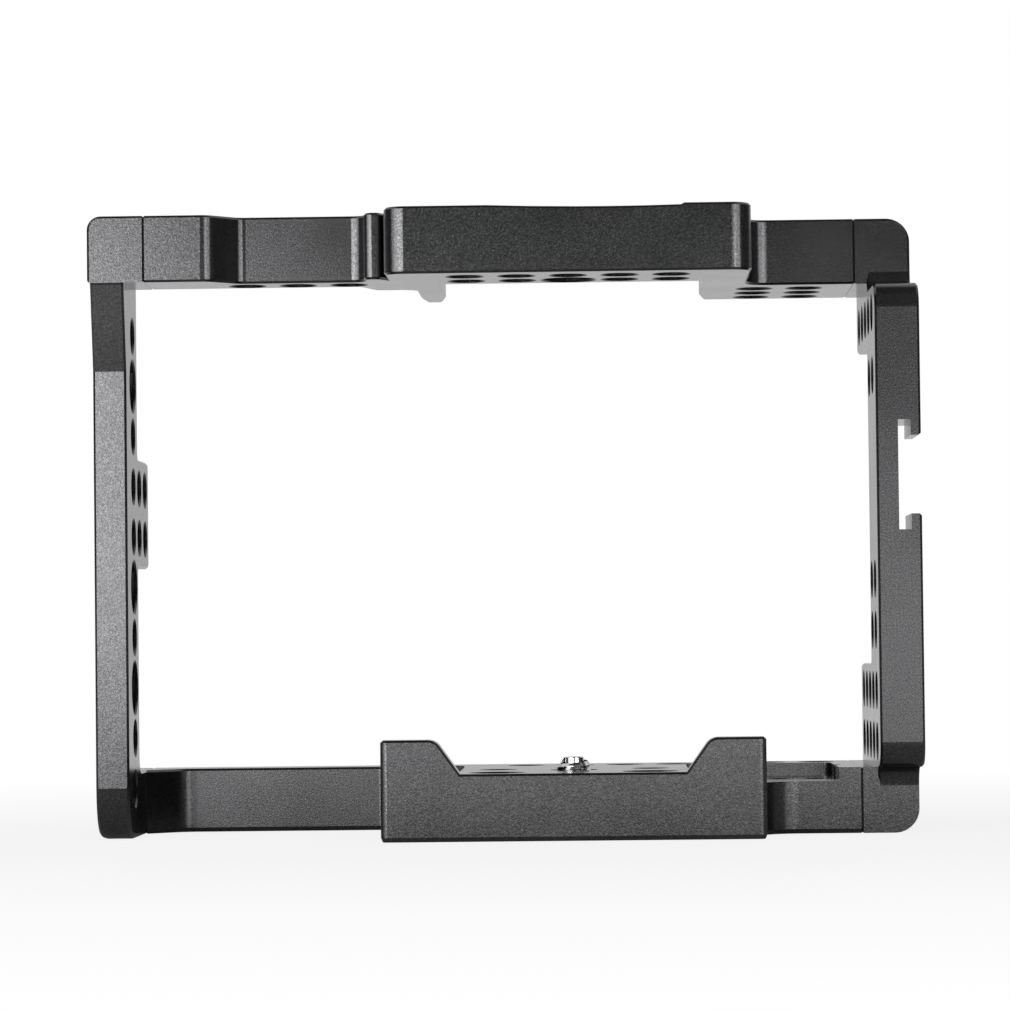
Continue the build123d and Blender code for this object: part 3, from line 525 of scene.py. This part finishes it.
# ---------------------------------------------------------------- seat pads
@dataclass
class SeatPad:
    """Ribbed rubber pad let into the seat beside the lens notch."""

    side: str
    sign: int
    inner: float = 20.2
    outer: float = 31.2
    front: float = -12.5
    back: float = 25.0
    low: float = -0.8
    high: float = 0.2
    corner: float = 1.5
    edge: float = 0.12
    border: float = 0.9
    border_slope: float = 0.08
    rib_pitch: float = 1.25
    rib_width: float = 0.7
    rib_height: float = 0.14
    rib_sink: float = 0.05
    rib_edge: float = 0.1
    side_gap: float = 0.4
    end_gap: float = 0.6

    @property
    def size(self) -> Vector:
        """Width, length and thickness in millimetres."""
        return Vector((self.outer - self.inner, self.back - self.front, self.high - self.low))

    @property
    def centre(self) -> Vector:
        """Middle of the pad in millimetres."""
        return Vector((self.sign * (self.inner + self.outer) / 2, (self.front + self.back) / 2,
                       (self.low + self.high) / 2))

    def block(self, bm: bmesh.types.BMesh, size: Vector,
              centre: Vector) -> list[bmesh.types.BMVert]:
        """Adds a plain block for a pad's body or rib.

        Args:
            bm: Mesh that the block is added to.
            size: Its three sizes in millimetres.
            centre: Its middle in millimetres.

        Returns:
            The block's vertices.
        """
        shape = Matrix.Translation(centre * MM) @ Matrix.Diagonal((*(size * MM), 1))
        return bmesh.ops.create_cube(bm, size=1, matrix=shape)["verts"]

    def build(self, material: bpy.types.Material) -> bpy.types.Object:
        """Builds the pad with its border and ribs.

        Args:
            material: The rubber.

        Returns:
            The piece in place of the plain pad.
        """
        bm = bmesh.new()
        self.block(bm, self.size, self.centre)
        uprights = [edge for edge in bm.edges
                    if abs(edge.verts[0].co.z - edge.verts[1].co.z) > self.size.z / 2 * MM]
        bmesh.ops.bevel(bm, geom=uprights, offset=self.corner * MM, segments=6, profile=0.5,
                        affect="EDGES", material=-1)
        top = max(bm.faces, key=lambda face: face.calc_center_median().z)
        bmesh.ops.bevel(bm, geom=list(top.edges), offset=self.edge * MM, segments=2, profile=0.5,
                        affect="EDGES", material=-1)
        top = max(bm.faces, key=lambda face: face.calc_center_median().z)
        bmesh.ops.inset_region(bm, faces=[top], thickness=self.border * MM, depth=0)
        bmesh.ops.inset_region(bm, faces=[top], thickness=self.border_slope * MM,
                               depth=-self.rib_height * MM)
        self.add_ribs(bm)
        piece = new_object(self.side + "_pad_ribbed", bm)
        piece.data.materials.append(material)
        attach(piece, "cage")
        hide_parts(self.side + "_seat_pad")
        return piece

    def add_ribs(self, bm: bmesh.types.BMesh) -> None:
        """Adds the cross ribs inside the border.

        Args:
            bm: Mesh of the pad.
        """
        length = self.size.y - 2 * (self.border + self.end_gap)
        count = int(length // self.rib_pitch)
        rise = self.rib_height + self.rib_sink
        size = Vector((self.size.x - 2 * (self.border + self.side_gap), self.rib_width, rise))
        for step in range(count + 1):
            along = self.centre.y + (step - count / 2) * self.rib_pitch
            centre = Vector((self.centre.x, along, self.high - rise / 2))
            rib = self.block(bm, size, centre)
            edges = dict.fromkeys(edge for vert in rib for edge in vert.link_edges
                                  if all(end.co.z > centre.z * MM for end in edge.verts))
            bmesh.ops.bevel(bm, geom=list(edges), offset=self.rib_edge * MM, segments=2,
                            profile=0.5, affect="EDGES", material=-1)


# ---------------------------------------------------------------- camera screw
@dataclass
class CameraScrew:
    """Captive quarter-inch screw with a slotted, grooved head."""

    tip: float = 2.3
    thread_low: float = -2.2
    thread_radius: float = 3.1
    core_radius: float = 2.5
    crest: tuple[float, float] = (0.40, 0.52)
    root_end: float = 0.92
    tip_chamfer: float = 1.3
    tip_slope: float = 0.1
    tip_edge: float = 0.15
    tip_sink: float = 0.12
    dimple_depth: float = 0.25
    dimple_radii: tuple[float, float] = (0.5, 0.9)
    lead_slope: float = 0.85
    root_height: float = 0.3
    root_fall: float = 0.6
    thread_end: float = 0.35
    shank_radius: float = 2.4
    overlap: float = 0.1
    head_high: float = -6.9
    head_low: float = -10.1
    head_radius: float = 5.6
    groove_depth: float = 0.16
    groove_flank: float = 0.4
    grooves: int = 60
    slot_width: float = 1.4
    slot_depth: float = 1.1
    edge: float = 0.4
    shank_steps: int = 64
    steps_per_turn: int = 40

    def tip_limit(self, height: float) -> float:
        """Largest radius at a height, given the tip's taper, all in metres."""
        flat = (self.thread_radius - self.tip_chamfer) * MM
        return flat + self.lead_slope * max(0.0, self.tip * MM - height)

    def add_shank(self, bm: bmesh.types.BMesh) -> None:
        """Adds the thread's core, the shank and the tip.

        Args:
            bm: Mesh of the screw.
        """
        flat = self.thread_radius - self.tip_chamfer - self.tip_sink
        root = flat + self.tip_slope * (self.tip - self.root_height)
        dimple, foot = self.tip - self.dimple_depth, self.head_high - self.overlap
        lathe(bm, [(0, dimple), (self.dimple_radii[0], dimple), (self.dimple_radii[1], self.tip),
                   (flat - self.tip_edge, self.tip), (flat, self.tip - self.tip_edge),
                   (root, self.root_height), (self.core_radius, self.root_height - self.root_fall),
                   (self.core_radius, self.thread_low + self.thread_end),
                   (self.shank_radius, self.thread_low), (self.shank_radius, foot), (0, foot)],
              self.shank_steps)

    def add_thread(self, bm: bmesh.types.BMesh) -> None:
        """Winds the thread round the core and cuts it to the tip's chamfer.

        Args:
            bm: Mesh of the screw.
        """
        pitch = Thread.QUARTER_INCH.pitch
        inner, outer = self.core_radius * MM - EMBED, self.thread_radius * MM
        start = (self.thread_low + self.overlap) * MM
        low, high, end = (start + share * pitch for share in (*self.crest, self.root_end))
        outline = [(inner, start), (outer, low), (outer, high), (inner, end)]
        turns = (self.tip * MM - end) / pitch
        for vert in helix(bm, outline, pitch, turns, self.steps_per_turn):
            across = Vector((vert.co.x, vert.co.y, 0))
            limit = self.tip_limit(vert.co.z)
            if across.length > limit:
                vert.co -= across * (1 - limit / across.length)

    def rim(self, low: float, high: float, low_edge: float, high_edge: float) -> bmesh.types.BMesh:
        """Makes a disc of the head with its grooved rim.

        Args:
            low: Height of its underside in millimetres.
            high: Height of its top in millimetres.
            low_edge: Bevel of its lower rim.
            high_edge: Bevel of its upper rim.

        Returns:
            The disc.
        """
        part = bmesh.new()
        radius, steps = self.head_radius, 4 * self.grooves
        lathe(part, [(0, low), (radius - low_edge, low), (radius, low + low_edge),
                     (radius, high - high_edge), (radius - high_edge, high), (0, high)], steps)
        for vert in part.verts:
            across = Vector((vert.co.x, vert.co.y, 0))
            if across.length < (radius - 0.01) * MM:
                continue
            # Of every four steps, the first is a groove's bottom and the third the rim itself.
            turn = round(math.atan2(vert.co.y, vert.co.x) / math.tau * steps) % 4
            if turn == 0:
                vert.co -= across.normalized() * self.groove_depth * MM
            elif turn != 2:
                vert.co -= across.normalized() * self.groove_depth * self.groove_flank * MM
        return part

    def add_head(self, bm: bmesh.types.BMesh) -> None:
        """Adds the head's disc and the two cheeks beside its coin slot.

        Args:
            bm: Mesh of the screw.
        """
        roof = self.head_low + self.slot_depth
        self.join(bm, self.rim(roof, self.head_high, 0.0, self.edge))
        for sign in (-1, 1):
            cheek = self.rim(self.head_low, roof + EMBED / MM, self.edge, 0.0)
            cut = bmesh.ops.bisect_plane(
                cheek, geom=cheek.verts[:] + cheek.edges[:] + cheek.faces[:],
                plane_co=(sign * self.slot_width / 2 * MM, 0, 0), plane_no=(sign, 0, 0),
                clear_inner=True)["geom_cut"]
            edges = [part for part in cut if isinstance(part, bmesh.types.BMEdge)]
            bmesh.ops.edgeloop_fill(cheek, edges=edges)
            self.join(bm, cheek)

    @staticmethod
    def join(bm: bmesh.types.BMesh, part: bmesh.types.BMesh) -> None:
        """Adds a part's mesh to the screw.

        Args:
            bm: Mesh of the screw.
            part: Mesh to add. It is freed here.
        """
        bmesh.ops.recalc_face_normals(part, faces=part.faces)
        mesh = bpy.data.meshes.new("part")
        part.to_mesh(mesh)
        part.free()
        bm.from_mesh(mesh)
        bpy.data.meshes.remove(mesh)

    def build(self, material: bpy.types.Material) -> bpy.types.Object:
        """Builds the screw.

        Args:
            material: The plated steel.

        Returns:
            The piece in place of the plain screw.
        """
        bm = bmesh.new()
        self.add_shank(bm)
        self.add_thread(bm)
        self.add_head(bm)
        piece = new_object("camera_screw_threaded", bm)
        piece.data.materials.append(material)
        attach(piece, "screw")
        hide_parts("camera_screw")
        return piece


# ---------------------------------------------------------------- studio
@dataclass
class Softbox:
    """Soft lamp that stands in front of the cage and points at it."""

    name: str
    azimuth: float
    elevation: float
    distance: float
    width: float
    height: float
    power: float
    target: tuple[float, float, float] = (-0.011, 0.0, 0.043)

    def build(self) -> bpy.types.Object:
        """Builds the lamp.

        Returns:
            The lamp's object.
        """
        lamp = bpy.data.lights.new(self.name, "AREA")
        lamp.shape = "RECTANGLE"
        lamp.size, lamp.size_y = self.width, self.height
        lamp.energy = self.power
        turn, rise = math.radians(self.azimuth), math.radians(self.elevation)
        way = Vector((math.sin(turn) * math.cos(rise), -math.cos(turn) * math.cos(rise),
                      math.sin(rise)))
        held = bpy.data.objects.new(self.name, lamp)
        held.location = Vector(self.target) + way * self.distance
        held.rotation_euler = way.to_track_quat("Z", "Y").to_euler()
        bpy.context.scene.collection.objects.link(held)
        return held


@dataclass
class Studio:
    """Pale floor, white backdrop, lamps and camera."""

    floor_height: float = -11.6 * MM
    floor_size: float = 6.0
    floor_level: float = 0.8
    floor_glow: float = 0.86
    floor_fade: tuple[float, float] = (0.08, 0.35)
    front_mirror: tuple[float, float] = (0.1, 0.5)
    front_fade: tuple[float, float] = (0.06, 0.16)
    front_reach: tuple[float, float] = (-0.2, -0.05)
    back_mirror: float = 0.68
    back_reach: tuple[float, float] = (0.045, 0.18)
    backdrop_side: tuple[float, float] = (0.45, 0.75)
    backdrop_top: tuple[float, float] = (0.3, 0.5)
    ambient: float = 0.25
    room: float = 0.105
    high_band: float = 0.75
    high_band_foot: tuple[float, float] = (0.4, 0.55)
    high_band_top: tuple[float, float] = (0.88, 0.95)
    high_band_front: tuple[float, float] = (-0.1, 0.25)
    high_band_front_share: float = 0.1
    sensor_width: float = 36.0
    focal_length: float = 147.05
    camera_place: tuple[float, float, float] = (6.359 * MM, -728.914 * MM, 21.820 * MM)
    camera_turn: tuple[float, float, float] = (0.0247673, 0.0343299, 0.0110875)
    lamps: Sequence[Softbox] = (
        Softbox("left_inner", -15.8, 4.4, 0.7, 0.13, 0.17, 0.42),
        Softbox("left_middle", -25.5, 1.9, 0.7, 0.165, 0.214, 0.95),
        Softbox("left_outer", -43.0, 4.0, 0.7, 0.30, 0.30, 1.27),
        Softbox("left_side", -63.0, 4.0, 0.7, 0.20, 0.30, 0.4),
        Softbox("right_inner", 24.8, 3.8, 0.7, 0.148, 0.193, 0.52),
        Softbox("right_outer", 42.0, 0.0, 0.7, 0.26, 0.30, 0.8),
        Softbox("front_middle", 0.9, -1.4, 0.7, 0.310, 0.193, 0.204),
        Softbox("front_low", 2.0, -2.6, 0.69, 0.46, 0.05, 0.142),
    )

    def build_floor(self) -> bpy.types.Object:
        """Builds the pale floor that fades into the white background.

        Returns:
            The floor.
        """
        bm = bmesh.new()
        bmesh.ops.create_grid(bm, x_segments=1, y_segments=1, size=self.floor_size / 2,
                              matrix=Matrix.Translation((0, 0, self.floor_height)))
        floor = new_object("studio_floor", bm)
        material, nodes = new_material("pale_floor")
        place = nodes.place()
        away = nodes.add("ShaderNodeVectorMath", {0: place}, operation="LENGTH").outputs["Value"]
        depth = nodes.add("ShaderNodeSeparateXYZ", {"Vector": place}).outputs["Y"]
        seen = nodes.math("MULTIPLY", nodes.add("ShaderNodeLightPath").outputs["Is Camera Ray"],
                          nodes.spread(away, self.floor_fade, (self.floor_glow, 1)))
        front = nodes.math("MULTIPLY", nodes.spread(depth, self.front_reach, (1, 0)),
                           nodes.spread(away, self.front_fade, self.front_mirror))
        back = nodes.spread(depth, self.back_reach, (0, self.back_mirror))
        mirrored = nodes.math("MULTIPLY", nodes.math("MAXIMUM", front, back),
                              nodes.mirrored_ray())
        share = nodes.math("MAXIMUM", seen, mirrored)
        matt = nodes.add("ShaderNodeBsdfDiffuse", {"Color": grey(self.floor_level)})
        white = nodes.add("ShaderNodeEmission", {"Color": grey(1.0), "Strength": 1.0})
        shader = nodes.add("ShaderNodeMixShader", {
            0: share, 1: matt.outputs[0], 2: white.outputs[0]})
        nodes.add("ShaderNodeOutputMaterial", {"Surface": shader.outputs[0]})
        floor.data.materials.append(material)
        return floor

    def build_world(self) -> None:
        """Builds the white backdrop behind the cage and the dim room round it."""
        world = bpy.data.worlds.new("studio")
        bpy.context.scene.world = world
        world.use_nodes = True
        nodes = Nodes(world.node_tree)
        way = nodes.add("ShaderNodeTexCoord").outputs["Generated"]
        split = nodes.add("ShaderNodeSeparateXYZ", {"Vector": way}).outputs
        backdrop = nodes.math("MULTIPLY", nodes.spread(split["Y"], self.backdrop_side, (0, 1)),
                              nodes.spread(split["Z"], self.backdrop_top, (1, 0)))
        band = nodes.math("MULTIPLY", nodes.spread(split["Z"], self.high_band_foot, (0, 1)),
                          nodes.spread(split["Z"], self.high_band_top, (1, 0)))
        band = nodes.math("MULTIPLY", band, nodes.spread(
            split["Y"], self.high_band_front, (self.high_band_front_share, 1)))
        mirrored = nodes.mix(band, grey(self.room), grey(self.high_band))
        mirrored = nodes.mix(backdrop, mirrored, grey(self.back_mirror))
        room = nodes.mix(nodes.mirrored_ray(), grey(self.ambient), mirrored)
        seen = nodes.add("ShaderNodeLightPath").outputs["Is Camera Ray"]
        colour = nodes.mix(seen, room, grey(1.0))
        light = nodes.add("ShaderNodeBackground", {"Color": colour, "Strength": 1.0})
        nodes.add("ShaderNodeOutputWorld", {"Surface": light.outputs[0]})

    def build_camera(self) -> None:
        """Places the camera at its measured viewpoint."""
        turn, rise, roll = self.camera_turn
        view = (Matrix.Rotation(turn, 4, "Z") @ Matrix.Rotation(rise, 4, "X")
                @ Matrix.Rotation(roll, 4, "Y") @ Matrix.Rotation(math.radians(90), 4, "X"))
        lens = bpy.data.cameras.new("camera")
        lens.sensor_width, lens.lens = self.sensor_width, self.focal_length
        lens.clip_start, lens.clip_end = 0.01, 50.0
        camera = bpy.data.objects.new("camera", lens)
        camera.matrix_world = Matrix.Translation(self.camera_place) @ view
        bpy.context.scene.collection.objects.link(camera)
        bpy.context.scene.camera = camera

    def build(self) -> None:
        """Builds the whole studio."""
        bpy.context.scene.view_settings.view_transform = "Standard"
        self.build_floor()
        self.build_world()
        for lamp in self.lamps:
            lamp.build()
        self.build_camera()


# ---------------------------------------------------------------- cage
def row(start: float, count: int, step: float = 9.0) -> list[float]:
    """Places of a row of holes in millimetres."""
    return [start + step * number for number in range(count)]


@dataclass
class Cage:
    """The cage's plates, pads and fasteners with their finishes."""

    nodes: dict[str, bpy.types.Object]
    plates: tuple[str, ...] = ("top_plate", "base_plate", "grip_side_plate", "port_side_plate")

    def tapped_plates(self) -> list[TappedPlate]:
        """Lists the accessory holes of each plate.

        Returns:
            The four plates, with their holes' places and spans.
        """
        quarter, stud = Thread.QUARTER_INCH, Thread.THREE_EIGHTHS
        top, base = (86.7, 97.2), (-11.2, -0.4)
        grip, port = (-83.9, -78.8), (53.8, 60.8)
        studs = [15.2, 33.2, 69.2]
        column = [height for height in row(-2.8, 10) if round(height, 1) not in studs]
        return [
            TappedPlate("top_plate", Axis.UPRIGHT, [
                HoleGrid(quarter, row(-18, 5), [-12.5], top),
                HoleGrid(quarter, [-18, -9, 9, 18], [-3.5], top),
                HoleGrid(stud, [0], [-3.5], top),
                HoleGrid(quarter, row(-57, 3), [1.0], top),
                HoleGrid(quarter, row(33.5, 2), row(19.6, 3), top)]),
            TappedPlate("base_plate", Axis.UPRIGHT, [
                HoleGrid(stud, [-13.3, 13.3], [-12.0], base),
                HoleGrid(quarter, [-13.5, 13.5], [5.0], base),
                HoleGrid(quarter, row(-9, 4), [30.0], base),
                HoleGrid(quarter, row(35.3, 2), [13.5], (-11.2, -2.8)),
                HoleGrid(quarter, row(35.3, 2), [35.0], base)]),
            TappedPlate("grip_side_plate", Axis.ACROSS, [
                HoleGrid(quarter, [7.5], column, grip),
                HoleGrid(stud, [7.5], studs, grip),
                HoleGrid(quarter, row(16.5, 2), row(42.2, 2), grip)]),
            TappedPlate("port_side_plate", Axis.ACROSS, [
                HoleGrid(quarter, row(-0.5, 5), [4.4, 13.4, 80.2], port),
                HoleGrid(quarter, row(-0.5, 2), [24.1, 33.1, 69.1], port)]),
        ]

    def dress(self, name: str, material: bpy.types.Material) -> None:
        """Gives a node its finish.

        Args:
            name: Name of the node.
            material: The finish.
        """
        node = self.nodes[name]
        if not node.material_slots:
            node.data.materials.append(material)
        for slot in node.material_slots:
            slot.material = material

    def build(self) -> None:
        """Builds and dresses every piece."""
        anodise = BlastedAnodise().material()
        bright = Metal("bright_nickel", 0.7, 0.13).material()
        black = Metal("black_oxide", 0.03, 0.34, metallic=0.6, mark_height=0.004 * MM).material()
        pin = Metal("ground_steel", 0.4, 0.28).material()
        rubber = Rubber().material()
        for name in self.plates:
            self.dress(name, anodise)
            LOG.info("dressed %s", name)
        tapped = BlastedAnodise("black_tapped_anodise", 0.035, 0.05, roughness=0.32).material()
        for plate in self.tapped_plates():
            LOG.info("made %s", plate.build(tapped).name)
        for side, sign in (("grip", -1), ("port", 1)):
            LOG.info("made %s", SeatPad(side, sign).build(rubber).name)
        LOG.info("made %s", CameraScrew().build(bright).name)
        for name in ("camera_screw_washer", "camera_screw_ring"):
            self.dress(name, bright)
            LOG.info("dressed %s", name)
        for name in self.nodes:
            if name.endswith("_dowel"):
                self.dress(name, pin)
                LOG.info("dressed %s", name)
            elif name.endswith(("_screw_1", "_screw_2")):
                self.dress(name, black)
                LOG.info("dressed %s", name)


def corners(box: tuple[Vector, Vector]) -> list[list[float]]:
    """Turns a box's two corners into plain lists."""
    return [list(corner) for corner in box]


def main() -> None:
    """Builds the scene."""
    logging.basicConfig(level=logging.INFO, format="%(name)s: %(message)s")
    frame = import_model()
    Cage(frame["nodes"]).build()
    Studio().build()


if __name__ == "__main__":
    main()
